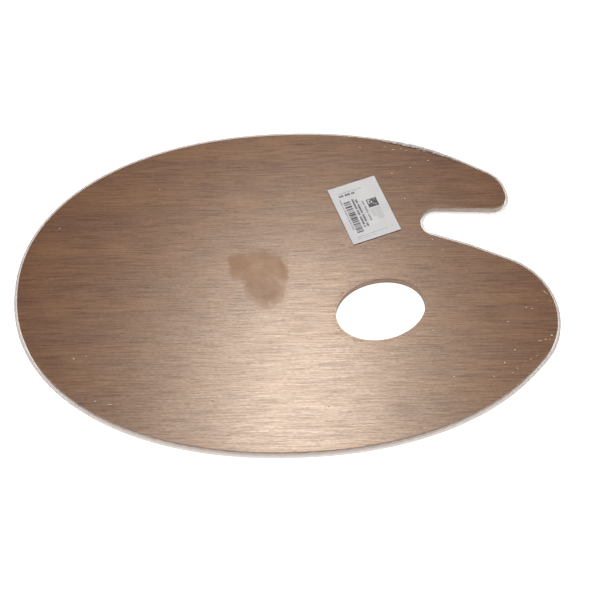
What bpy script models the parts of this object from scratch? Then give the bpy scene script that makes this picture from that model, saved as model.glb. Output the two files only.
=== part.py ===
"""Oval mixing palette: three-ply wood with a thumb hole and a finger notch, shrink-wrapped in clear film
that carries a paper label.

Metres. +X runs along the palette to the end with the notch, +Y across it to the side of the label, and +Z
out of the mixing face. The origin is the centre of the footprint, on the surface that the palette lies on.
"""

import math

import bmesh
import bpy
from mathutils import Matrix, Vector

# Oval board. OVAL_POWER 2 would be an ellipse, and more is squarer.
PALETTE_LENGTH = 0.300
PALETTE_WIDTH = 0.200
OVAL_POWER = 2.135

# Thickness of each ply, and the clearance between pieces that touch, which is also the glue line.
FACE_PLY = 0.0010
CORE_PLY = 0.0024
BACK_PLY = 0.0010
CLEARANCE = 0.0003

# Thumb hole: an ellipse, with its centre measured from the oval's notch end and from its long axis.
THUMB_HOLE_FROM_END = 0.1023
THUMB_HOLE_FROM_AXIS = -0.0187
THUMB_HOLE_LENGTH = 0.0498
THUMB_HOLE_WIDTH = 0.0368
THUMB_HOLE_TURN = math.radians(15.4)

# Finger notch. Its path leaves the oval along a tangent, turns at five corners and comes back along another
# tangent. A corner is (distance from the oval's notch end, height above the long axis, rounding radius).
LOBE_ANGLE = math.radians(48.0)
LOBE_SHOULDER = 0.0226
LOBE_SHOULDER_RADIUS = 0.018
LOBE_CORNER = (0.0244, 0.0434, 0.008)
ROOT_TOP_CORNER = (0.0761, 0.0466, 0.0095)
ROOT_LOW_CORNER = (0.0757, 0.0296, 0.008)
LOWER_EDGE_CORNER = (0.0501, 0.0196, 0.109)
NOSE_CORNER = (0.0046, -0.0020, 0.038)
NOSE_ANGLE = math.radians(-34.6)
NOSE_SHOULDER = 0.0229
NOSE_SHOULDER_RADIUS = 0.037

# Shrink film: how far it stands off the board's edge, and how far it is cut back round the thumb hole.
FILM = 0.00015
FILM_STANDOFF = 0.0020
FILM_CUT_BACK = 0.0010

# Label, with its centre measured from the oval's notch end and from its long axis.
LABEL_FROM_END = 0.1073
LABEL_FROM_AXIS = 0.0454
LABEL_SHORT_SIDE = 0.0289
LABEL_LONG_SIDE = 0.0392
LABEL_TURN = math.radians(18.8)
LABEL = 0.0001

# Fineness of the curves.
OVAL_STEP = math.radians(2.5)
ARC_STEP = math.radians(6.0)
HOLE_SIDES = 72
FILM_EDGE_STEPS = 8

# Heights of the stack, from the surface up.
BACK_BOTTOM = FILM + CLEARANCE
CORE_BOTTOM = BACK_BOTTOM + BACK_PLY + CLEARANCE
FACE_BOTTOM = CORE_BOTTOM + CORE_PLY + CLEARANCE
FACE_TOP = FACE_BOTTOM + FACE_PLY
FILM_TOP = FACE_TOP + CLEARANCE + FILM
LABEL_BOTTOM = FILM_TOP + CLEARANCE
CUTTER_OVERHANG = 0.005


def clear_scene():
    for obj in list(bpy.data.objects):
        bpy.data.objects.remove(obj, do_unlink=True)


def from_notch_end(distance, height):
    """Point given by its distance from the oval's notch end and its height above the long axis."""
    return Vector((PALETTE_LENGTH / 2 - distance, height))


# Outline of the board


def oval_point(angle):
    cosine, sine = math.cos(angle), math.sin(angle)
    exponent = 2 / OVAL_POWER
    return Vector((
        math.copysign(PALETTE_LENGTH / 2 * abs(cosine) ** exponent, cosine),
        math.copysign(PALETTE_WIDTH / 2 * abs(sine) ** exponent, sine),
    ))


def oval_tangent(angle):
    step = 1e-4
    return (oval_point(angle + step) - oval_point(angle - step)).normalized()


def tangent_length(before, corner, after, radius):
    """How far from the corner its rounding starts, and the angle between the corner's sides."""
    opening = (before - corner).angle(after - corner)
    return radius / math.tan(opening / 2), opening


def arc_at_corner(before, corner, after, length, opening):
    """Points of the arc that touches both sides of the corner at this length from it."""
    radius = length * math.tan(opening / 2)
    to_before = (before - corner).normalized()
    to_after = (after - corner).normalized()
    centre = corner + (to_before + to_after).normalized() * radius / math.sin(opening / 2)
    start = corner + to_before * length - centre
    turn = math.pi - opening
    if to_before.cross(to_after) > 0:
        turn = -turn
    steps = max(3, math.ceil(abs(turn) / ARC_STEP))
    return [centre + Matrix.Rotation(turn * step / steps, 2) @ start for step in range(steps + 1)]


def rounded_path(points, radii):
    """Open path through the points, with each inner one rounded to its radius, or less on a short side."""
    corners = list(zip(points, points[1:], points[2:], radii))
    sized = [tangent_length(*corner) for corner in corners]
    lengths = [0.0] + [length for length, _ in sized] + [0.0]
    sides = [(after - before).length for before, after in zip(points, points[1:])]
    shares = [min(1.0, side / max(first + second, 1e-9))
              for side, first, second in zip(sides, lengths, lengths[1:])]
    path = [points[0]]
    for index, (before, corner, after, _) in enumerate(corners):
        length = sized[index][0] * min(shares[index], shares[index + 1])
        path += arc_at_corner(before, corner, after, length, sized[index][1])
    return path + [points[-1]]


def notch_path():
    """The notch, from where it comes back to the oval at the nose round to where it leaves it at the lobe."""
    lobe, nose = oval_point(LOBE_ANGLE), oval_point(NOSE_ANGLE)
    inner = [NOSE_CORNER, LOWER_EDGE_CORNER, ROOT_LOW_CORNER, ROOT_TOP_CORNER, LOBE_CORNER]
    points = [nose, nose + oval_tangent(NOSE_ANGLE) * NOSE_SHOULDER]
    points += [from_notch_end(distance, height) for distance, height, _ in inner]
    points += [lobe - oval_tangent(LOBE_ANGLE) * LOBE_SHOULDER, lobe]
    radii = [NOSE_SHOULDER_RADIUS] + [radius for _, _, radius in inner] + [LOBE_SHOULDER_RADIUS]
    return rounded_path(points, radii)


def board_outline():
    """Outline of the board in the oval's own axes, anticlockwise from above."""
    sweep = 2 * math.pi + NOSE_ANGLE - LOBE_ANGLE
    steps = round(sweep / OVAL_STEP)
    oval = [oval_point(LOBE_ANGLE + sweep * step / steps) for step in range(1, steps)]
    return notch_path() + oval


def without_short_sides(outline, shortest=0.0002):
    kept = [outline[0]]
    for point in outline[1:]:
        if (point - kept[-1]).length > shortest:
            kept.append(point)
    return kept


def outward_normals(outline):
    normals = []
    for index, point in enumerate(outline):
        before = (point - outline[index - 1]).normalized()
        after = (outline[(index + 1) % len(outline)] - point).normalized()
        along = (before + after).normalized()
        normals.append(Vector((along.y, -along.x)))
    return normals


def footprint_centre(outline):
    """Half way along the board as it is cut, which the notch makes shorter than the whole oval."""
    along = [point.x for point in outline]
    return Vector(((min(along) + max(along)) / 2, 0.0))


# Solids


def principled(name, colour, roughness, alpha=1.0):
    material = bpy.data.materials.new(name)
    material.use_nodes = True
    shader = material.node_tree.nodes["Principled BSDF"]
    shader.inputs["Base Color"].default_value = (*colour, 1.0)
    shader.inputs["Roughness"].default_value = roughness
    shader.inputs["Metallic"].default_value = 0.0
    shader.inputs["Alpha"].default_value = alpha
    return material


def solid_from_rings(name, rings, material=None):
    """Closed solid through rings of equal length, from the lowest ring to the highest, with flat ends."""
    bm = bmesh.new()
    loops = [[bm.verts.new(point) for point in ring] for ring in rings]
    bm.faces.new(list(reversed(loops[0])))
    bm.faces.new(loops[-1])
    for low, high in zip(loops, loops[1:]):
        for index, corner in enumerate(low):
            after = (index + 1) % len(low)
            bm.faces.new((corner, low[after], high[after], high[index]))
    mesh = bpy.data.meshes.new(name)
    bm.to_mesh(mesh)
    bm.free()
    mesh.shade_smooth()
    mesh.set_sharp_from_angle(angle=math.radians(30))
    if material:
        mesh.materials.append(material)
    obj = bpy.data.objects.new(name, mesh)
    bpy.context.scene.collection.objects.link(obj)
    return obj


def slab(name, outline, bottom, top, material=None):
    rings = [[point.to_3d() + Vector((0, 0, height)) for point in outline] for height in (bottom, top)]
    return solid_from_rings(name, rings, material)


def cut(obj, cutter):
    """Boolean difference that stays on the object, with the cutter kept out of the render."""
    cutter.hide_render = True
    cutter.display_type = "WIRE"
    modifier = obj.modifiers.new("cut_" + cutter.name, "BOOLEAN")
    modifier.operation = "DIFFERENCE"
    modifier.solver = "EXACT"
    modifier.object = cutter


def thumb_hole_cutter(name, centre, margin=0.0):
    """Upright elliptical cutter through the whole stack, larger than the thumb hole by the margin all round."""
    middle = from_notch_end(THUMB_HOLE_FROM_END, THUMB_HOLE_FROM_AXIS) - centre
    turn = Matrix.Rotation(THUMB_HOLE_TURN, 2)
    outline = []
    for side in range(HOLE_SIDES):
        angle = 2 * math.pi * side / HOLE_SIDES
        along = (THUMB_HOLE_LENGTH / 2 + margin) * math.cos(angle)
        across = (THUMB_HOLE_WIDTH / 2 + margin) * math.sin(angle)
        outline.append(middle + turn @ Vector((along, across)))
    return slab(name, outline, -CUTTER_OVERHANG, LABEL_BOTTOM + CUTTER_OVERHANG)


def wrapped_solid(name, outline, standoff, bottom, top, material=None):
    """Solid that covers the outline with a clearance, and whose edge swells to the standoff at half height."""
    normals = outward_normals(outline)
    middle, reach = (bottom + top) / 2, (top - bottom) / 2
    rings = []
    for step in range(FILM_EDGE_STEPS + 1):
        angle = math.pi * (step / FILM_EDGE_STEPS - 0.5)
        offset = CLEARANCE + (standoff - CLEARANCE) * math.cos(angle)
        height = middle + reach * math.sin(angle)
        rings.append([(point + normal * offset).to_3d() + Vector((0, 0, height))
                      for point, normal in zip(outline, normals)])
    return solid_from_rings(name, rings, material)


# Pieces


def make_plies(outline, hole):
    mahogany = principled("mahogany_veneer", (0.33, 0.19, 0.12), 0.45)
    pale_core = principled("pale_core_wood", (0.56, 0.40, 0.25), 0.6)
    backing = principled("backing_veneer", (0.36, 0.21, 0.13), 0.55)
    stack = (
        ("back_veneer", BACK_BOTTOM, BACK_PLY, backing),
        ("core_ply", CORE_BOTTOM, CORE_PLY, pale_core),
        ("face_veneer", FACE_BOTTOM, FACE_PLY, mahogany),
    )
    for name, bottom, thickness, material in stack:
        cut(slab(name, outline, bottom, bottom + thickness, material), hole)


def make_film(outline, centre):
    """Clear skin round the whole board, open at the thumb hole, where its two sides end."""
    clear = principled("clear_film", (0.9, 0.92, 0.93), 0.08, alpha=0.15)
    film = wrapped_solid("shrink_film", outline, FILM_STANDOFF, 0.0, FILM_TOP, clear)
    inside = wrapped_solid("film_inside", outline, FILM_STANDOFF - FILM, FILM, FILM_TOP - FILM)
    cut(film, inside)
    cut(film, thumb_hole_cutter("film_hole", centre, FILM_CUT_BACK))


def make_label(centre):
    paper = principled("label_paper", (0.78, 0.76, 0.75), 0.55)
    middle = from_notch_end(LABEL_FROM_END, LABEL_FROM_AXIS) - centre
    turn = Matrix.Rotation(LABEL_TURN, 2)
    half = Vector((LABEL_SHORT_SIDE / 2, LABEL_LONG_SIDE / 2))
    corners = [middle + turn @ Vector((half.x * along, half.y * across))
               for along, across in ((-1, -1), (1, -1), (1, 1), (-1, 1))]
    slab("barcode_label", corners, LABEL_BOTTOM, LABEL_BOTTOM + LABEL, paper)


def main():
    clear_scene()
    oval_outline = without_short_sides(board_outline())
    centre = footprint_centre(oval_outline)
    outline = [point - centre for point in oval_outline]
    make_plies(outline, thumb_hole_cutter("thumb_hole", centre))
    make_film(outline, centre)
    make_label(centre)


main()
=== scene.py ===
"""Looks of the oval mixing palette: a three-ply board in its shrink wrap, with a printed shop label."""

import math
import random

import bmesh
import bpy
from mathutils import Matrix, Vector, noise


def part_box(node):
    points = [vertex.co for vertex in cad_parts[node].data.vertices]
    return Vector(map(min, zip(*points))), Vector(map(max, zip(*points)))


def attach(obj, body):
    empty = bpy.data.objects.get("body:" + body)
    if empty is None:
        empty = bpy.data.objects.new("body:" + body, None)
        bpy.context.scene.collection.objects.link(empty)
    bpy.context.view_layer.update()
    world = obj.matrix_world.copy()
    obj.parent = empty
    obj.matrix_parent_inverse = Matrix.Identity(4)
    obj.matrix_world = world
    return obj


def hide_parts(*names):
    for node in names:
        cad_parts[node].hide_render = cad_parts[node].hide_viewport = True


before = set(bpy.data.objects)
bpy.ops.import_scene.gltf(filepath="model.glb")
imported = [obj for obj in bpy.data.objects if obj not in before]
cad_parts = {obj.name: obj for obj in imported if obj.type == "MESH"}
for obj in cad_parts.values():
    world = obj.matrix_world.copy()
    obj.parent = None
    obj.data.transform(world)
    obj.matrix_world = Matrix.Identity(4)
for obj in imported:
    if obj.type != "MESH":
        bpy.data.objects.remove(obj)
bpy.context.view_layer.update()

MM = 0.001


# Face veneer
# The ply that paint is mixed on: reddish-brown okoume, peeled about 1 mm thick and sanded, with its grain
# along the board. It is glued to the core, then the arris is rounded by hand with fine paper.

STREAK = (110.0, 9.0)  # length and width in mm of the slow streaks of colour, and below of the finer marks
FIBRE = (45.0, 1.1)
PORE = (17.0, 0.6)
FLECK = (2.4, 0.55)
GRAIN_TURN = math.radians(1.2)
GRAIN_BEND = 5.0 * MM
PORE_COLOUR = "4a2c1e"


def linear(hex_colour):
    """Linear RGBA of an sRGB hex colour."""
    channels = [int(hex_colour[start:start + 2], 16) / 255 for start in (0, 2, 4)]
    return [c / 12.92 if c <= 0.04045 else ((c + 0.055) / 1.055) ** 2.4 for c in channels] + [1.0]


def add_node(tree, kind, inputs=None, stops=(), **settings):
    """New node with its settings. An input is a value, or another node's output to link.

    The stops are a colour ramp's (position, hex colour) pairs.
    """
    node = tree.nodes.new(kind)
    for name, value in settings.items():
        setattr(node, name, value)
    for index, (position, colour) in enumerate(stops):
        elements = node.color_ramp.elements
        element = elements[index] if index < len(elements) else elements.new(position)
        element.position, element.color = position, linear(colour)
    for socket, value in (inputs or {}).items():
        if isinstance(value, bpy.types.NodeSocket):
            tree.links.new(value, node.inputs[socket])
        else:
            node.inputs[socket].default_value = value
    return node


def new_material(name):
    """Material with its tree and an output node, and nothing else in it."""
    material = bpy.data.materials.new(name)
    material.use_nodes = True
    material.node_tree.nodes.clear()
    return material, material.node_tree, material.node_tree.nodes.new("ShaderNodeOutputMaterial")


def grain_noise(tree, grain, length, width, detail, roughness):
    """Noise drawn out along the board: marks of about this length and width, in mm."""
    placed = add_node(tree, "ShaderNodeMapping",
                      {"Vector": grain, "Scale": (1000.0 / length, 1000.0 / width, 1000.0 / width)})
    noise_node = add_node(tree, "ShaderNodeTexNoise", {"Vector": placed.outputs[0], "Scale": 1.0,
                                                       "Detail": detail, "Roughness": roughness})
    return noise_node.outputs["Fac"]


def peeled_veneer(name, dark, middle, light, stained=False):
    """Sanded okoume: slow streaks of colour, fine fibre lines, and short dark pores along the grain."""
    material, tree, output = new_material(name)
    where = add_node(tree, "ShaderNodeTexCoord").outputs["Object"]
    warp = add_node(tree, "ShaderNodeTexNoise", {"Vector": where, "Scale": 9.0, "Detail": 2.0})
    bend = add_node(tree, "ShaderNodeVectorMath", {0: warp.outputs["Color"], 1: (0.0, GRAIN_BEND, 0.0)},
                    operation="MULTIPLY")
    along = add_node(tree, "ShaderNodeVectorMath", {0: where, 1: bend.outputs[0]}, operation="ADD")
    turned = add_node(tree, "ShaderNodeMapping", {"Vector": along.outputs[0],
                                                  "Rotation": (0.0, 0.0, GRAIN_TURN)})
    grain = turned.outputs["Vector"]
    streaks = grain_noise(tree, grain, *STREAK, 4.0, 0.55)
    fibres = grain_noise(tree, grain, *FIBRE, 4.0, 0.62)
    pores = grain_noise(tree, grain, *PORE, 2.0, 0.55)
    flecks = grain_noise(tree, grain, *FLECK, 3.0, 0.6)
    mottle = add_node(tree, "ShaderNodeTexNoise", {"Vector": where, "Scale": 55.0, "Detail": 4.0})
    tone = add_node(tree, "ShaderNodeMix", {0: 0.5, 2: streaks, 3: fibres})
    tone = add_node(tree, "ShaderNodeMix", {0: 0.25, 2: tone.outputs[0], 3: mottle.outputs["Fac"]})
    wood = add_node(tree, "ShaderNodeValToRGB", {"Fac": tone.outputs[0]},
                    stops=((0.40, dark), (0.5, middle), (0.60, light)))
    pore_mask = add_node(tree, "ShaderNodeMapRange", {0: pores, 1: 0.54, 2: 0.66, 3: 0.0, 4: 0.5})
    pored = add_node(tree, "ShaderNodeMix", {0: pore_mask.outputs[0], 6: wood.outputs["Color"],
                                             7: linear(PORE_COLOUR)}, data_type="RGBA")
    colour = pored.outputs[2]
    rough = add_node(tree, "ShaderNodeMapRange", {0: fibres, 1: 0.35, 2: 0.65, 3: 0.295, 4: 0.335})
    rough = rough.outputs[0]
    # Open pores shine less than the wood between them, and short flecks of ray shine more or less by turns.
    shine = add_node(tree, "ShaderNodeMapRange", {0: pores, 1: 0.40, 2: 0.62, 3: 0.92, 4: 0.62})
    glint = add_node(tree, "ShaderNodeMapRange", {0: flecks, 1: 0.35, 2: 0.65, 3: 0.76, 4: 1.24})
    shine = add_node(tree, "ShaderNodeMath", {0: shine.outputs[0], 1: glint.outputs[0]},
                     operation="MULTIPLY").outputs[0]
    if stained:
        colour, rough, shine = with_stains(tree, where, colour, rough, shine)
    relief = add_node(tree, "ShaderNodeMath", {0: fibres, 1: pore_mask.outputs[0]}, operation="SUBTRACT")
    bump = add_node(tree, "ShaderNodeBump", {"Height": relief.outputs[0], "Strength": 0.2,
                                             "Distance": 0.04 * MM})
    shader = add_node(tree, "ShaderNodeBsdfPrincipled",
                      {"Base Color": colour, "Roughness": rough, "Normal": bump.outputs[0],
                       "Specular IOR Level": shine, "Specular Tint": linear("ffebd5"), "IOR": 1.5})
    tree.links.new(shader.outputs[0], output.inputs["Surface"])
    return material


# Stains: a shield-shaped patch near the middle, where glue has struck through and left the wood dull, with a
# darker foot, and two small brown spots by the far edge. Each patch is (centre x, centre y, half length,
# half width), in mm.
GLUE_STAIN = ((-13.6, 10.3, 17.5, 12.5), (-11.5, -4.0, 12.5, 12.5), (-24.0, 11.0, 7.5, 11.5),
              (-2.0, 8.5, 6.0, 10.0))
GLUE_FOOT = ((-9.0, -4.5, 9.5, 11.0),)
SMALL_SPOTS = ((18.4, 94.5, 3.2, 1.6), (30.8, 94.1, 3.0, 1.6))
STAIN_RAGGED = (12.0 * MM, 10.0 * MM, 0.0)  # how far the noise moves a stain's edge, along and across
STAINED_ROUGHNESS, STAINED_SHINE = 0.38, 0.38


def patch_mask(tree, moved, patches, edge):
    """1 inside any of the patches, falling to 0 over the edge, which is a share of a patch's half size."""
    whole = None
    for x, y, half_length, half_width in patches:
        placed = add_node(tree, "ShaderNodeMapping",
                          {"Vector": moved, "Location": (x * MM, y * MM, FACE_TOP),
                           "Scale": (half_length * MM, half_width * MM, 1.0)}, vector_type="TEXTURE")
        ball = add_node(tree, "ShaderNodeTexGradient", {"Vector": placed.outputs[0]},
                        gradient_type="SPHERICAL")
        soft = add_node(tree, "ShaderNodeMapRange", {0: ball.outputs["Fac"], 1: 0.0, 2: edge}).outputs[0]
        if whole is None:
            whole = soft
        else:
            whole = add_node(tree, "ShaderNodeMath", {0: whole, 1: soft}, operation="MAXIMUM").outputs[0]
    return whole


def with_stains(tree, where, colour, rough, shine):
    """Colour, roughness and specular level of the wood with its stains, ragged at the edge and blotchy."""
    ragged = add_node(tree, "ShaderNodeTexNoise", {"Vector": where, "Scale": 130.0, "Detail": 4.0,
                                                   "Roughness": 0.6})
    jitter = add_node(tree, "ShaderNodeVectorMath", {0: ragged.outputs["Color"], 1: (-0.5, -0.5, -0.5)},
                      operation="ADD")
    jitter = add_node(tree, "ShaderNodeVectorMath", {0: jitter.outputs[0], 1: STAIN_RAGGED},
                      operation="MULTIPLY")
    moved = add_node(tree, "ShaderNodeVectorMath", {0: where, 1: jitter.outputs[0]}, operation="ADD")
    moved = moved.outputs[0]
    glued = patch_mask(tree, moved, GLUE_STAIN, 0.42)
    foot = patch_mask(tree, moved, GLUE_FOOT, 0.6)
    spots = patch_mask(tree, moved, SMALL_SPOTS, 0.8)
    blotchy = add_node(tree, "ShaderNodeMapRange",
                       {0: ragged.outputs["Fac"], 1: 0.35, 2: 0.65, 3: 0.6, 4: 1.0})
    dulled = add_node(tree, "ShaderNodeMath", {0: glued, 1: blotchy.outputs[0]}, operation="MULTIPLY")
    dulled = dulled.outputs[0]
    rough = add_node(tree, "ShaderNodeMix", {0: dulled, 2: rough, 3: STAINED_ROUGHNESS}).outputs[0]
    shine = add_node(tree, "ShaderNodeMix", {0: dulled, 2: shine, 3: STAINED_SHINE}).outputs[0]
    for mask, strength, brown in ((glued, 0.6, "9c6d45"), (foot, 0.4, "7c4e2c"), (spots, 0.6, "5c3c24")):
        share = add_node(tree, "ShaderNodeMath", {0: mask, 1: strength}, operation="MULTIPLY")
        colour = add_node(tree, "ShaderNodeMix", {0: share.outputs[0], 6: colour, 7: linear(brown)},
                          data_type="RGBA").outputs[2]
    return colour, rough, shine


FACE_ARRIS = 0.45 * MM
LEVEL_ENOUGH = 0.9999  # a face whose normal is this near upright is shaded flat
MERGE = 0.001 * MM
SAME_HEIGHT = 0.01 * MM
FLAT_WITHIN = math.radians(0.5)  # neighbouring triangles this close in angle are one flat face
ARRIS_SEGMENTS = 3
CREASED_OVER = math.radians(35)  # an edge that turns more than this stays sharp


def mesh_of_node(node_name):
    """Copy of a CAD node's mesh, with its loose triangles joined and its flat faces made whole."""
    bm = bmesh.new()
    bm.from_mesh(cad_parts[node_name].data)
    bmesh.ops.remove_doubles(bm, verts=bm.verts, dist=MERGE)
    bmesh.ops.dissolve_limit(bm, angle_limit=FLAT_WITHIN, verts=bm.verts, edges=bm.edges)
    return bm


def round_arris(bm, height):
    """Rounds the edges where a flat face at this height meets the cut edge of the board."""
    edges = [edge for edge in bm.edges if len(edge.link_faces) == 2
             and all(abs(vert.co.z - height) < SAME_HEIGHT for vert in edge.verts)
             and abs(edge.link_faces[0].normal.z) + abs(edge.link_faces[1].normal.z) < 1.5]
    bmesh.ops.bevel(bm, geom=edges, offset=FACE_ARRIS, offset_type="OFFSET", segments=ARRIS_SEGMENTS,
                    profile=0.5, affect="EDGES", material=-1, clamp_overlap=True)


def add_piece(name, bm, material, slot, *replaced):
    """Object from a finished bmesh, its level faces shaded flat and the rest smooth, riding on the board."""
    mesh = bpy.data.meshes.new(name)
    bm.to_mesh(mesh)
    bm.free()
    mesh.materials.append(material)
    mesh.shade_smooth()
    mesh.set_sharp_from_angle(angle=CREASED_OVER)
    for polygon in mesh.polygons:
        polygon.use_smooth = abs(polygon.normal.z) < LEVEL_ENOUGH
    piece = bpy.data.objects.new(name, mesh)
    bpy.context.scene.collection.objects.link(piece)
    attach(piece, "root")
    if replaced:
        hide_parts(*replaced)


FACE_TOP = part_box("face_veneer")[1].z
okoume_face = peeled_veneer("sanded_okoume_face", "693d27", "764a2c", "845731", stained=True)
bm = mesh_of_node("face_veneer")
round_arris(bm, FACE_TOP)
add_piece("face_veneer_sanded", bm, okoume_face, "mahogany_veneer", "face_veneer")


# Core ply
# The middle ply is paler and softer wood, laid with its grain across the board so that the board stays flat.
# Only its cut edge shows, as end grain along the long sides.

def cross_grained_core():
    """End grain of a light soft hardwood off the saw: dull, with pale bands and darker specks."""
    material, tree, output = new_material("pale_core_end_grain")
    where = add_node(tree, "ShaderNodeTexCoord").outputs["Object"]
    # Rays 0.7 mm apart round the edge and growth bands 1 mm apart through the thickness.
    specks_at = add_node(tree, "ShaderNodeMapping", {"Vector": where, "Scale": (1400.0, 1400.0, 900.0)})
    specks = add_node(tree, "ShaderNodeTexNoise",
                      {"Vector": specks_at.outputs[0], "Scale": 1.0, "Detail": 3.0, "Roughness": 0.6})
    bands_at = add_node(tree, "ShaderNodeMapping", {"Vector": where, "Scale": (30.0, 30.0, 1000.0)})
    bands = add_node(tree, "ShaderNodeTexNoise", {"Vector": bands_at.outputs[0], "Scale": 1.0, "Detail": 2.0})
    tone = add_node(tree, "ShaderNodeMix", {0: 0.45, 2: bands.outputs["Fac"], 3: specks.outputs["Fac"]})
    colour = add_node(tree, "ShaderNodeValToRGB", {"Fac": tone.outputs[0]},
                      stops=((0.32, "69503c"), (0.5, "8a7058"), (0.7, "a68c72")))
    bump = add_node(tree, "ShaderNodeBump", {"Height": specks.outputs["Fac"], "Strength": 0.4,
                                             "Distance": 0.15 * MM})
    shader = add_node(tree, "ShaderNodeBsdfPrincipled",
                      {"Base Color": colour.outputs["Color"], "Roughness": 0.62, "Normal": bump.outputs[0]})
    tree.links.new(shader.outputs[0], output.inputs["Surface"])
    return material


add_piece("core_ply_sawn", mesh_of_node("core_ply"), cross_grained_core(), "pale_core_wood", "core_ply")


# Back veneer
# The same wood as the face, one grade plainer and a little darker. It keeps the board from cupping.

BACK_BOTTOM, BACK_TOP = (corner.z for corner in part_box("back_veneer"))
okoume_back = peeled_veneer("sanded_okoume_back", "603821", "6d4327", "7b4f2c")
bm = mesh_of_node("back_veneer")
round_arris(bm, BACK_BOTTOM)
add_piece("back_veneer_sanded", bm, okoume_back, "backing_veneer", "back_veneer")


# Glue lines
# Cured resin glue between the plies. It is darker than the wood and shows as two thin lines round the cut
# edges, a hair below the surface because the glue shrinks.

GLUE_SHRINK = 0.04 * MM


def glue_line(name, bottom, top):
    """The core's own outline, squeezed into the gap between two plies and drawn in from the edge."""
    bm = mesh_of_node("core_ply")
    low, high = (corner.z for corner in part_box("core_ply"))
    for vert in bm.verts:
        side = [face.normal for face in vert.link_faces if abs(face.normal.z) < 0.5]
        inward = -sum(side, Vector()).normalized() * GLUE_SHRINK if side else Vector()
        share = (vert.co.z - low) / (high - low)
        vert.co.z = bottom + (top - bottom) * share
        vert.co += inward
    add_piece(name, bm, glue_material, "pale_core_wood")


glue_material, tree, output = new_material("cured_resin_glue")
where = add_node(tree, "ShaderNodeTexCoord").outputs["Object"]
uneven = add_node(tree, "ShaderNodeTexNoise", {"Vector": where, "Scale": 300.0, "Detail": 2.0})
brown = add_node(tree, "ShaderNodeValToRGB", {"Fac": uneven.outputs["Fac"]},
                 stops=((0.35, "4b3527"), (0.65, "6a4e3b")))
shader = add_node(tree, "ShaderNodeBsdfPrincipled", {"Base Color": brown.outputs["Color"], "Roughness": 0.4})
tree.links.new(shader.outputs[0], output.inputs["Surface"])

CORE_LOW, CORE_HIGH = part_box("core_ply")
FACE_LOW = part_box("face_veneer")[0]
GLUE_PLAY = 0.01 * MM
glue_line("glue_line_lower", BACK_TOP + GLUE_PLAY, CORE_LOW.z - GLUE_PLAY)
glue_line("glue_line_upper", CORE_HIGH.z + GLUE_PLAY, FACE_LOW.z - GLUE_PLAY)


# Shrink wrap
# Clear polyolefin film, shrunk tight over both faces with hot air, which leaves slow ripples in the face. It
# bellies out round the edge, where it is thickest and milky, and is pulled clearer in the notch.

FILM_CELL = 3.0 * MM
FILM_LOW, FILM_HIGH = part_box("shrink_film")
RIPPLE_LEAST, RIPPLE_MORE = 0.0252 * MM, 0.0468 * MM
RIPPLES_PER_METRE = 45.0
NOTCH_FILM = ((100.0, 40.0, 52.0, 17.0),)  # the film is pulled clearer here: centre and half sides, in mm
NOTCH_HAZE = 0.5  # share of the haze that is left there
MIRROR_HEAD_ON, MIRROR_AT_GRAZING, MIRROR_POWER = 0.0025, 0.6, 5.0
HAZE_COLOUR = "f6efea"


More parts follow.
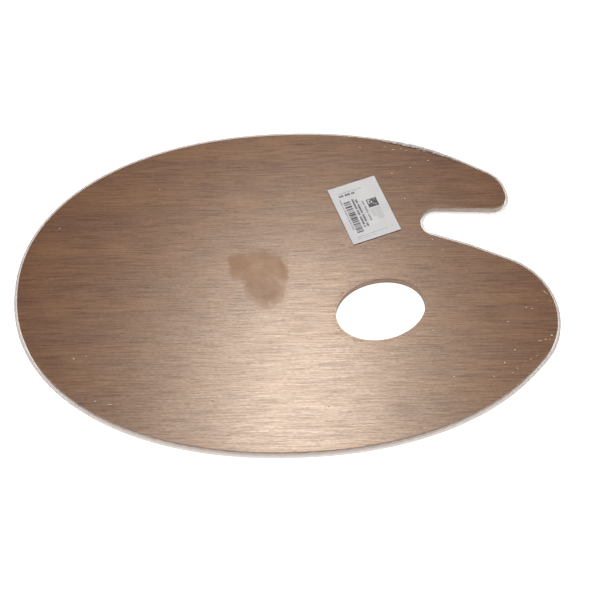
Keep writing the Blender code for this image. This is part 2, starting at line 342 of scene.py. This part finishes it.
def shrunk_film():
    """Thin clear film: it passes nearly all light, mirrors a little, and is milky where it turns down."""
    material, tree, output = new_material("clear_polyolefin_film")
    where = add_node(tree, "ShaderNodeTexCoord").outputs["Object"]
    facing = add_node(tree, "ShaderNodeNewGeometry")
    upward = add_node(tree, "ShaderNodeSeparateXYZ", {0: facing.outputs["Normal"]})
    level = add_node(tree, "ShaderNodeMath", {0: upward.outputs["Z"]}, operation="ABSOLUTE").outputs[0]
    # Level film is clear. It is half milky from where it starts to turn down, and more so on the walls.
    edge_haze = add_node(tree, "ShaderNodeMapRange", {0: level, 1: 0.9995, 2: 0.85, 3: 0.0, 4: 0.5})
    wall_haze = add_node(tree, "ShaderNodeMapRange", {0: level, 1: 0.7, 2: 0.3, 3: 0.0, 4: 0.15})
    hazes = add_node(tree, "ShaderNodeMath", {0: edge_haze.outputs[0], 1: wall_haze.outputs[0]},
                     operation="ADD")
    clear = patch_mask(tree, where, NOTCH_FILM, 0.4)
    clearer = add_node(tree, "ShaderNodeMapRange", {0: clear, 3: 1.0, 4: NOTCH_HAZE})
    hazy = add_node(tree, "ShaderNodeMath", {0: hazes.outputs[0], 1: clearer.outputs[0]},
                    operation="MULTIPLY")
    waves = add_node(tree, "ShaderNodeTexNoise", {"Vector": where, "Scale": 60.0, "Detail": 4.0,
                                                  "Distortion": 0.8})
    bump = add_node(tree, "ShaderNodeBump", {"Height": waves.outputs["Fac"], "Strength": 0.25,
                                             "Distance": 0.4 * MM})
    # The mirror share is the same on both sides of the film. A Fresnel node would reflect everything at a
    # low angle from inside it, where light really leaves so thin a film.
    slant = add_node(tree, "ShaderNodeLayerWeight", {"Blend": 0.5, "Normal": bump.outputs[0]})
    grazing = add_node(tree, "ShaderNodeMath", {0: slant.outputs["Facing"], 1: MIRROR_POWER},
                       operation="POWER")
    mirrored = add_node(tree, "ShaderNodeMapRange", {0: grazing.outputs[0], 3: MIRROR_HEAD_ON,
                                                     4: MIRROR_AT_GRAZING})
    gloss = add_node(tree, "ShaderNodeBsdfGlossy", {"Color": linear("ffffff"), "Roughness": 0.3,
                                                    "Normal": bump.outputs[0]})
    through = add_node(tree, "ShaderNodeBsdfTransparent", {"Color": linear("fdfdfd")})
    milky = add_node(tree, "ShaderNodeBsdfDiffuse", {"Color": linear(HAZE_COLOUR)})
    glow = add_node(tree, "ShaderNodeBsdfTranslucent", {"Color": linear(HAZE_COLOUR)})
    haze = add_node(tree, "ShaderNodeMixShader", {0: 0.5, 1: milky.outputs[0], 2: glow.outputs[0]})
    film = add_node(tree, "ShaderNodeMixShader", {0: mirrored.outputs[0], 1: through.outputs[0],
                                                  2: gloss.outputs[0]})
    hazed = add_node(tree, "ShaderNodeMixShader", {0: hazy.outputs[0], 1: film.outputs[0],
                                                   2: haze.outputs[0]})
    tree.links.new(hazed.outputs[0], output.inputs["Surface"])
    return material


def ripple_at(point):
    """How far the film stands up from its smooth shape at this point."""
    return RIPPLE_LEAST + RIPPLE_MORE * abs(noise.fractal(point * RIPPLES_PER_METRE, 0.7, 2.0, 3))


def cut_into_cells(bm, axis, low, high):
    """Slices right through the mesh, so that its flat sheets have points that can be moved."""
    steps = math.ceil((high - low) / FILM_CELL)
    for step in range(1, steps):
        at = low + (high - low) * step / steps
        bmesh.ops.bisect_plane(bm, geom=bm.verts[:] + bm.edges[:] + bm.faces[:], dist=MERGE,
                               plane_co=axis * at, plane_no=axis)


bm = mesh_of_node("shrink_film")
bmesh.ops.triangulate(bm, faces=bm.faces[:])
cut_into_cells(bm, Vector((1, 0, 0)), FILM_LOW.x, FILM_HIGH.x)
cut_into_cells(bm, Vector((0, 1, 0)), FILM_LOW.y, FILM_HIGH.y)
LABEL_LOW, LABEL_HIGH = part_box("barcode_label")
LABEL_CENTRE = (LABEL_LOW + LABEL_HIGH) / 2
LABEL_CLEAR, LABEL_FADE = 22.0 * MM, 10.0 * MM  # ripples nearly stop this near the label, then grow over this
LEAST_RIPPLED = 0.15
MIDDLE_HEIGHT = (FILM_LOW.z + FILM_HIGH.z) / 2
level_points = [vert for vert in bm.verts if vert.co.z > MIDDLE_HEIGHT
                and all(abs(face.normal.z) > LEVEL_ENOUGH for face in vert.link_faces)]
for vert in level_points:
    from_label = (vert.co.xy - LABEL_CENTRE.xy).length
    vert.co.z += ripple_at(vert.co) * min(1.0, max(LEAST_RIPPLED, (from_label - LABEL_CLEAR) / LABEL_FADE))
add_piece("shrink_wrap", bm, shrunk_film(), "clear_film", "shrink_film")


# Gathered film
# Beside the notch, on the far edge, the wrap was bunched when it was sealed. A crumpled ribbon of it stands
# out a few millimetres past the board.

OVAL_HALF_LENGTH, OVAL_HALF_WIDTH, OVAL_POWER = 150.0 * MM, 100.0 * MM, 2.135
OVAL_CENTRE_X = 3.55 * MM
GATHER_FROM, GATHER_TO = 59.0 * MM, 103.0 * MM
GATHER_STEPS, GATHER_ROWS = 110, 9
GATHER_OVERLAP, GATHER_OUT, GATHER_BULGE = 1.2 * MM, 3.0 * MM, 1.9 * MM
GATHER_LIFT, GATHER_DROP, GATHER_CRUMPLE, GATHER_SKIN = 0.1 * MM, 1.8 * MM, 0.5 * MM, 0.08 * MM
BULGES, CRUMPLES, CRUMPLES_ACROSS = 14.0, 60.0, 2.5


def far_edge(x):
    """Point of the board's far edge at this x, and the direction straight out from it."""
    along = (x - OVAL_CENTRE_X) / OVAL_HALF_LENGTH
    across = (1.0 - along ** OVAL_POWER) ** (1.0 / OVAL_POWER)
    slope = Vector((along ** (OVAL_POWER - 1.0) / OVAL_HALF_LENGTH,
                    across ** (OVAL_POWER - 1.0) / OVAL_HALF_WIDTH, 0.0))
    return Vector((x, across * OVAL_HALF_WIDTH, 0.0)), slope.normalized()


def gathered_ribbon():
    """Ribbon that follows the far edge, widest at its middle, crumpled, and turned down at its free side."""
    bm = bmesh.new()
    rows = []
    for step in range(GATHER_STEPS + 1):
        share = step / GATHER_STEPS
        edge, outward = far_edge(GATHER_FROM + (GATHER_TO - GATHER_FROM) * share)
        swell = math.sin(math.pi * share) ** 0.7
        row = []
        for k in range(GATHER_ROWS + 1):
            across = k / GATHER_ROWS
            bulge = GATHER_BULGE * noise.noise(Vector((share * BULGES, 0.0, 3.0)))
            reach = across * (GATHER_OVERLAP + swell * (GATHER_OUT + bulge))
            crumple = noise.noise(Vector((share * CRUMPLES, across * CRUMPLES_ACROSS, 1.0)))
            crumple *= GATHER_CRUMPLE * swell
            point = edge + outward * (reach - GATHER_OVERLAP)
            point.z = FILM_HIGH.z + GATHER_LIFT - GATHER_DROP * across ** 2 + crumple * across ** 0.5
            row.append(bm.verts.new(point))
        rows.append(row)
    for first, second in zip(rows, rows[1:]):
        for k in range(GATHER_ROWS):
            bm.faces.new((first[k], second[k], second[k + 1], first[k + 1]))
    bmesh.ops.solidify(bm, geom=bm.faces[:], thickness=GATHER_SKIN)
    bmesh.ops.recalc_face_normals(bm, faces=bm.faces)
    return bm


def bunched_film():
    """Several layers of milky film, crisply folded; the grey-to-white colour of the folds is painted shade
    and glints.
    """
    material, tree, output = new_material("bunched_film_painted_fold_light")
    where = add_node(tree, "ShaderNodeTexCoord").outputs["Object"]
    folds = add_node(tree, "ShaderNodeTexNoise", {"Vector": where, "Scale": 420.0, "Detail": 3.0,
                                                  "Distortion": 1.2})
    # Painted shade and glints: the colour is grey where the fold noise is low and near white where it is
    # high, either side of the film's own milky tone.
    colour = add_node(tree, "ShaderNodeValToRGB", {"Fac": folds.outputs["Fac"]},
                      stops=((0.42, "b8b2b0"), (0.50, "d2cbc8"), (0.58, "fffcf8")))
    bump = add_node(tree, "ShaderNodeBump", {"Height": folds.outputs["Fac"], "Strength": 0.55,
                                             "Distance": 0.5 * MM})
    gloss = add_node(tree, "ShaderNodeBsdfPrincipled",
                     {"Base Color": colour.outputs["Color"], "Roughness": 0.22, "Normal": bump.outputs[0]})
    through = add_node(tree, "ShaderNodeBsdfTransparent")
    body = add_node(tree, "ShaderNodeMapRange", {0: folds.outputs["Fac"], 1: 0.4, 2: 0.6, 3: 0.3, 4: 0.8})
    mixed = add_node(tree, "ShaderNodeMixShader", {0: body.outputs[0], 1: through.outputs[0],
                                                   2: gloss.outputs[0]})
    tree.links.new(mixed.outputs[0], output.inputs["Surface"])
    return material


add_piece("film_gather", gathered_ribbon(), bunched_film(), "clear_film")


# Creases and blisters
# Where the film shrank unevenly it is pinched into short creases, and hot air left pin-head blisters
# across the face. Their brightness is a painted glint in their warm white colour, with real gloss on top.
# Each crease is (x, y, length, turn in degrees) and each blister is (x, y), in mm.

CREASES = (
    (66.2, 86.6, 3.4, -4), (73.6, 85.9, 2.2, -8), (71.0, 87.1, 1.6, 0), (80.6, 86.0, 2.0, -20),
    (89.6, 82.9, 2.6, -24), (84.0, 85.0, 1.8, -30), (61.5, 88.8, 2.0, -10),
    (141.6, -12.3, 4.0, -50), (143.4, -17.4, 2.6, -60), (134.5, -41.8, 2.6, 15), (132.0, -50.4, 2.2, 40),
    (128.5, -52.2, 1.6, 30), (120.6, -57.6, 1.7, -42), (117.9, -59.9, 1.8, 35), (107.7, -61.8, 2.2, -45),
    (-107.0, -41.6, 1.8, -40), (-93.6, -70.2, 2.4, -12), (-101.0, -68.0, 1.4, 20), (83.4, 24.2, 1.6, 62),
    (88.6, 17.0, 1.6, 66),
)
BLISTERS = (
    (46.8, 89.1), (75.0, 73.7), (85.8, 78.2), (64.1, 69.9), (130.0, -21.2), (133.1, -22.0), (119.1, -29.4),
    (137.8, -40.9), (140.2, -40.9), (141.4, -38.6), (120.6, -46.5), (114.2, -54.0), (136.0, -17.0),
    (78.2, -33.3), (86.7, -61.0), (50.7, -62.5), (-40.0, -69.4), (-113.5, -42.8), (-125.6, 39.4),
    (-69.8, 63.8), (98.0, -8.0), (70.0, 52.0), (20.0, -75.0),
)


def pinched_film():
    """Film folded on itself: half clear and glossy, in a warm white whose brightness is a painted glint."""
    material, tree, output = new_material("pinched_film_painted_glint")
    where = add_node(tree, "ShaderNodeTexCoord").outputs["Object"]
    folds = add_node(tree, "ShaderNodeTexNoise", {"Vector": where, "Scale": 900.0, "Detail": 2.0})
    bump = add_node(tree, "ShaderNodeBump", {"Height": folds.outputs["Fac"], "Strength": 0.6,
                                             "Distance": 0.2 * MM})
    # Painted glint: the warm near-white base colour makes the folds bright under any lamp; the gloss on it is
    # real.
    gloss = add_node(tree, "ShaderNodeBsdfPrincipled",
                     {"Base Color": linear("f6e6d8"), "Roughness": 0.2, "Normal": bump.outputs[0],
                      "Specular IOR Level": 0.8})
    through = add_node(tree, "ShaderNodeBsdfTransparent")
    body = add_node(tree, "ShaderNodeMapRange", {0: folds.outputs["Fac"], 1: 0.35, 2: 0.65, 3: 0.15, 4: 0.7})
    mixed = add_node(tree, "ShaderNodeMixShader", {0: body.outputs[0], 1: through.outputs[0],
                                                   2: gloss.outputs[0]})
    tree.links.new(mixed.outputs[0], output.inputs["Surface"])
    return material


SPOT_LIFT = 0.03 * MM  # height of a dome's middle plane over the film
DOME_LOW = -0.2  # the underside of a dome is cut flat here, as a share of its height
CREASE_HALF_WIDTHS = (0.14 * MM, 0.24 * MM)
BLISTER_RADII = (0.35 * MM, 0.6 * MM)
CREASE_HEIGHT, BLISTER_HEIGHT = 0.24 * MM, 0.22 * MM


def raised_spots(spots):
    """One mesh of low domes on the film, each (x, y, half length, half width, height, turn), in metres."""
    bm = bmesh.new()
    for x, y, half_length, half_width, height, turn in spots:
        made = bmesh.ops.create_icosphere(bm, subdivisions=2, radius=1.0)
        seat = FILM_HIGH.z + SPOT_LIFT
        place = (Matrix.Translation((x, y, seat)) @ Matrix.Rotation(turn, 4, "Z")
                 @ Matrix.Diagonal((half_length, half_width, height, 1.0)))
        for vert in made["verts"]:
            vert.co *= 1.0 + 0.25 * noise.noise(vert.co * 2.0 + Vector((x, y, 0.0)) * 500.0)
            vert.co.z = max(vert.co.z, DOME_LOW)
        bmesh.ops.transform(bm, matrix=place, verts=made["verts"])
    bmesh.ops.recalc_face_normals(bm, faces=bm.faces)
    return bm


pinched_material = pinched_film()
draw = random.Random(7)
creases = [(x * MM, y * MM, length / 2 * MM, draw.uniform(*CREASE_HALF_WIDTHS), CREASE_HEIGHT,
            math.radians(turn)) for x, y, length, turn in CREASES]
blisters = []
for x, y in BLISTERS:
    size = draw.uniform(*BLISTER_RADII)
    blisters.append((x * MM, y * MM, size, size * draw.uniform(0.7, 1.0), BLISTER_HEIGHT,
                     draw.uniform(0, math.pi)))
add_piece("film_creases", raised_spots(creases), pinched_material, "clear_film")
add_piece("film_blisters", raised_spots(blisters), pinched_material, "clear_film")


# Paper label
# A white gummed label, stuck on the wrap a little askew. It is slightly cockled, and two of its corners have
# begun to lift.

LABEL_SHORT_SIDE = 28.9 * MM
LABEL_LONG_SIDE = 39.2 * MM
LABEL_TURN = math.radians(18.8)
GUM = 0.05 * MM
LABEL_SEAT = (Matrix.Translation((LABEL_CENTRE.x, LABEL_CENTRE.y, FILM_HIGH.z + GUM))
              @ Matrix.Rotation(LABEL_TURN, 4, "Z"))
PAPER = LABEL_HIGH.z - LABEL_LOW.z
CORNER_LIFT, OTHER_CORNERS = 0.12 * MM, 0.35  # the other two corners lift by this share of it
COCKLE = 0.03 * MM
PAPER_CELLS = (18, 24)


def gummed_paper():
    """Uncoated white paper: matt, with faint clouds and fibres."""
    material, tree, output = new_material("gummed_label_paper")
    where = add_node(tree, "ShaderNodeTexCoord").outputs["Object"]
    fibres = add_node(tree, "ShaderNodeTexNoise", {"Vector": where, "Scale": 1500.0, "Detail": 3.0})
    clouds = add_node(tree, "ShaderNodeTexNoise", {"Vector": where, "Scale": 120.0, "Detail": 2.0})
    tone = add_node(tree, "ShaderNodeMix", {0: 0.6, 2: fibres.outputs["Fac"], 3: clouds.outputs["Fac"]})
    colour = add_node(tree, "ShaderNodeValToRGB", {"Fac": tone.outputs[0]},
                      stops=((0.35, "d2cece"), (0.65, "dcd8d8")))
    bump = add_node(tree, "ShaderNodeBump", {"Height": fibres.outputs["Fac"], "Strength": 0.15,
                                             "Distance": 0.03 * MM})
    shader = add_node(tree, "ShaderNodeBsdfPrincipled",
                      {"Base Color": colour.outputs["Color"], "Roughness": 0.5, "Normal": bump.outputs[0]})
    tree.links.new(shader.outputs[0], output.inputs["Surface"])
    return material


def paper_height(x, y):
    """Rise of the paper over its seat at a point in its own axes, with the corners lifting most."""
    corner = (abs(x) / (LABEL_SHORT_SIDE / 2)) ** 6 * (abs(y) / (LABEL_LONG_SIDE / 2)) ** 6
    cockle = COCKLE * (1.0 + math.sin(x * 420.0 + 1.0) * math.cos(y * 300.0))
    return cockle + CORNER_LIFT * corner * (1.0 if x * y < 0 else OTHER_CORNERS)


bm = bmesh.new()
bmesh.ops.create_grid(bm, x_segments=PAPER_CELLS[0], y_segments=PAPER_CELLS[1], size=0.5)
for vert in bm.verts:
    x, y = vert.co.x * LABEL_SHORT_SIDE, vert.co.y * LABEL_LONG_SIDE
    vert.co = (x, y, paper_height(x, y))
bmesh.ops.solidify(bm, geom=bm.faces[:], thickness=-PAPER)
bmesh.ops.recalc_face_normals(bm, faces=bm.faces)
bmesh.ops.transform(bm, matrix=LABEL_SEAT, verts=bm.verts)
add_piece("label_paper_sheet", bm, gummed_paper(), "label_paper", "barcode_label")


# Label print
# Black thermal print: a bar code, a square code of random cells, two plain blocks, and rows of dashes that
# spell nothing. It is made of thin patches of ink on the paper. Sizes are in mm, from the label's right side
# and its top.

INK_HEIGHT = 0.02 * MM
CODE_SQUARE = (4.9, 13.9, 11.0, 19.5)  # its border cells are inked, and most of the others
CODE_CELLS, CODE_INKED = 10, 0.78
GREY_BLOCKS = ((5.1, 20.4, 8.6, 28.5), (9.0, 20.4, 11.0, 26.0))
# Each dashed row: distance from the right side, first and last distance from the top, height, ink
DASHED_ROWS = (
    (13.1, 13.7, 28.3, 1.1, "grey"), (16.2, 11.6, 30.8, 1.2, "black"), (18.1, 10.8, 31.2, 1.2, "black"),
    (24.9, 8.9, 30.8, 0.8, "grey"), (14.7, 13.7, 28.3, 0.25, "grey"),
)
# Each cross row: distance from the top, first and last distance from the right side, height, ink
CROSS_ROWS = (
    (5.0, 10.0, 25.5, 0.9, "pale"), (6.8, 15.2, 25.5, 1.2, "black"), (35.5, 6.8, 25.5, 0.45, "grey"),
    (36.9, 14.0, 25.5, 0.6, "pale"),
)
BAR_CODE = (19.8, 23.8, 11.4, 33.0)
BAR_WIDTHS, BAR_GAPS = (0.4, 0.4, 0.8, 1.2), (0.3, 0.45, 0.7)
DASH_WIDTHS, DASH_GAP, WORD_GAP = (0.45, 0.8), 0.22, 0.6  # widths and word gap are shares of a row's height
DASHES_IN_WORD = (2, 7)
LEAST_HEIGHT = 0.5  # a lower row is spaced as if it were this high
INKS = {"black": "343132", "grey": "868282", "pale": "b4b0b0", "faint": "c6c2c2"}


def ink(name, colour):
    """Thermal ink, a little shiny, and worn through to the paper in specks."""
    material, tree, output = new_material(name)
    where = add_node(tree, "ShaderNodeTexCoord").outputs["Object"]
    wear = add_node(tree, "ShaderNodeTexNoise", {"Vector": where, "Scale": 1800.0, "Detail": 2.0})
    worn = add_node(tree, "ShaderNodeMapRange", {0: wear.outputs["Fac"], 1: 0.55, 2: 0.8, 3: 0.0, 4: 0.45})
    mixed = add_node(tree, "ShaderNodeMix", {0: worn.outputs[0], 6: linear(colour), 7: linear("bdb9b8")},
                     data_type="RGBA")
    shader = add_node(tree, "ShaderNodeBsdfPrincipled", {"Base Color": mixed.outputs[2], "Roughness": 0.45})
    tree.links.new(shader.outputs[0], output.inputs["Surface"])
    return material


def patch(bm, from_right, from_top, to_right, to_top):
    """Thin patch of ink between two corners, lying on the paper."""
    left, right = LABEL_SHORT_SIDE / 2 - to_right * MM, LABEL_SHORT_SIDE / 2 - from_right * MM
    low, high = LABEL_LONG_SIDE / 2 - to_top * MM, LABEL_LONG_SIDE / 2 - from_top * MM
    made = bmesh.ops.create_cube(bm, size=1.0)["verts"]
    for vert in made:
        x = (left + right) / 2 + vert.co.x * (right - left)
        y = (low + high) / 2 + vert.co.y * (high - low)
        vert.co = (x, y, PAPER + paper_height(x, y) + INK_HEIGHT * (vert.co.z + 0.5))


def words(start, end, height):
    """Spans of dashes that stand for words of a few letters each, between two distances."""
    spans = []
    at = start
    height = max(height, LEAST_HEIGHT)
    while at < end:
        for _ in range(draw.randint(*DASHES_IN_WORD)):
            width = draw.uniform(*DASH_WIDTHS) * height
            if at + width > end:
                return spans
            spans.append((at, at + width))
            at += width + DASH_GAP
        at += WORD_GAP * height
    return spans


printed = {name: bmesh.new() for name in INKS}
near, top, far, foot = CODE_SQUARE
cell_along, cell_down = (far - near) / CODE_CELLS, (foot - top) / CODE_CELLS
for column in range(CODE_CELLS):
    for line in range(CODE_CELLS):
        framed = 0 in (column, line) or CODE_CELLS - 1 in (column, line)
        if draw.random() < CODE_INKED or framed:
            patch(printed["black"], near + cell_along * column, top + cell_down * line,
                  near + cell_along * (column + 1), top + cell_down * (line + 1))
for block in GREY_BLOCKS:
    patch(printed["faint"], *block)
for right, first, last, height, ink_name in DASHED_ROWS:
    for start, end in words(first, last, height):
        patch(printed[ink_name], right - height / 2, start, right + height / 2, end)
for top, first, last, height, ink_name in CROSS_ROWS:
    for start, end in words(first, last, height):
        patch(printed[ink_name], start, top - height / 2, end, top + height / 2)
near, far, first, last = BAR_CODE
at = first
while at < last:
    width = draw.choice(BAR_WIDTHS)
    patch(printed["black"], near, at, far, min(at + width, last))
    at += width + draw.choice(BAR_GAPS)
for ink_name, bm in printed.items():
    bmesh.ops.transform(bm, matrix=LABEL_SEAT, verts=bm.verts)
    inked = ink("thermal_ink_" + ink_name, INKS[ink_name])
    add_piece("label_print_" + ink_name, bm, inked, "label_paper")


# Floor, light and camera
# The board lies on an opal light table. One long soft box over the far side gives it its sheen, and a weak
# one in front lights the near rim.

FLOOR_DROP = 0.1 * MM
FLOOR_HALF_SIZE = 4.0

table_material, tree, output = new_material("opal_light_table")
shader = add_node(tree, "ShaderNodeBsdfPrincipled",
                  {"Base Color": linear("e6e6e5"), "Roughness": 0.9, "Specular IOR Level": 0.1,
                   "Emission Color": linear("ffffff"), "Emission Strength": 0.85})
tree.links.new(shader.outputs[0], output.inputs["Surface"])
bm = bmesh.new()
bmesh.ops.create_grid(bm, x_segments=1, y_segments=1, size=FLOOR_HALF_SIZE)
bmesh.ops.translate(bm, verts=bm.verts, vec=(0.0, 0.0, -FLOOR_DROP))
mesh = bpy.data.meshes.new("table")
bm.to_mesh(mesh)
bm.free()
mesh.materials.append(table_material)
table = bpy.data.objects.new("table", mesh)
bpy.context.scene.collection.objects.link(table)


def soft_box(name, place, width, depth, watts):
    """Area light that is turned to the middle of the board."""
    lamp = bpy.data.lights.new(name, "AREA")
    lamp.shape, lamp.size, lamp.size_y, lamp.energy = "RECTANGLE", width, depth, watts
    holder = bpy.data.objects.new(name, lamp)
    holder.location = place
    holder.rotation_euler = (-Vector(place)).to_track_quat("-Z", "Y").to_euler()
    bpy.context.scene.collection.objects.link(holder)


soft_box("sheen_box", (0.03, 0.505, 1.40), 0.10, 0.52, 12.6)
soft_box("front_fill", (-0.1, -1.2, 0.42), 0.5, 0.3, 5.4)
world = bpy.data.worlds.new("studio")
bpy.context.scene.world = world
world.use_nodes = True
room = world.node_tree.nodes["Background"]
room.inputs["Color"].default_value = linear("f4f6f8")
room.inputs["Strength"].default_value = 0.26

CAMERA_TARGET = Vector((5.6 * MM, -9.0 * MM, FACE_TOP))
CAMERA_DISTANCE = 659.0 * MM
CAMERA_ELEVATION = math.radians(60.6)
CAMERA_TURN = math.radians(2.19)
SENSOR_WIDTH, FOCAL_LENGTH = 36.0, 73.5  # in mm
lens = bpy.data.cameras.new("camera")
lens.sensor_width = SENSOR_WIDTH
lens.lens = FOCAL_LENGTH
lens.clip_start = 0.01
camera = bpy.data.objects.new("camera", lens)
looking = Vector((math.sin(CAMERA_TURN) * math.cos(CAMERA_ELEVATION),
                  math.cos(CAMERA_TURN) * math.cos(CAMERA_ELEVATION), -math.sin(CAMERA_ELEVATION)))
camera.location = CAMERA_TARGET - looking * CAMERA_DISTANCE
camera.rotation_euler = looking.to_track_quat("-Z", "Y").to_euler()
bpy.context.scene.collection.objects.link(camera)
bpy.context.scene.camera = camera
bpy.context.scene.view_settings.view_transform = "Standard"
